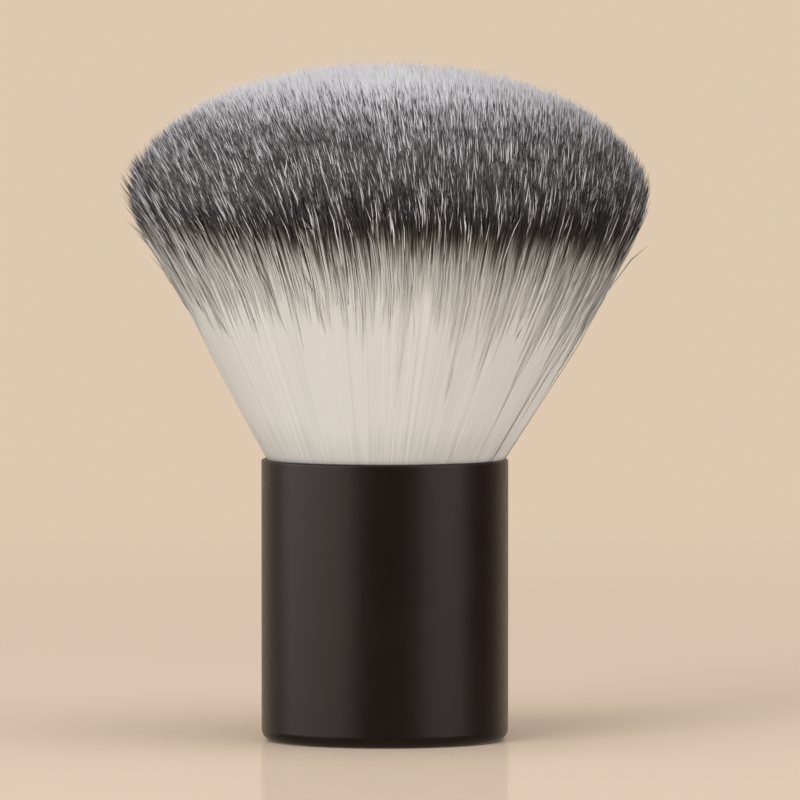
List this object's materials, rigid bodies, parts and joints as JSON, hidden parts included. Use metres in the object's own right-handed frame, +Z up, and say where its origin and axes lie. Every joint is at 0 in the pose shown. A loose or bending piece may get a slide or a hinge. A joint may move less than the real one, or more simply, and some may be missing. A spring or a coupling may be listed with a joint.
{
  "type": "kabuki makeup brush",
  "caption": "Short kabuki face brush: a flared, domed head of banded soft filaments set in a plain satin-black cylindrical handle that stands on its flat base.",
  "frame": {"origin": "centre of the flat base that the brush stands on, on the brush's axis", "axes": "+Z up along the brush's axis from the base to the dome; X and Y are alike, and the picture looks along +Y with +X to the right"},
  "size_m": [0.061, 0.061, 0.0815],
  "materials": {
    "shell": "satin black anodised",
    "pad": "closed-cell foam",
    "weight": "turned, zinc plated",
    "liner": "moulded, natural",
    "bond": "cured adhesive",
    "epoxy": "cast amber",
    "thread": "twisted thread",
    "bristle": "tapered filaments, cream below, a black-brown band, pale grey tips"
  },
  "bodies": {
    "root": {"handle_shell": "shell", "weight_pad": "pad", "base_weight": "weight", "handle_liner": "liner", "liner_bond": "bond", "root_epoxy": "epoxy", "binding_thread": "thread", "bristle_tuft_1": "bristle", "bristle_tuft_2": "bristle", "bristle_tuft_3": "bristle", "bristle_tuft_4": "bristle", "bristle_tuft_5": "bristle", "bristle_tuft_6": "bristle", "bristle_tuft_7": "bristle", "bristle_tuft_8": "bristle"}
  },
  "joints": []
}
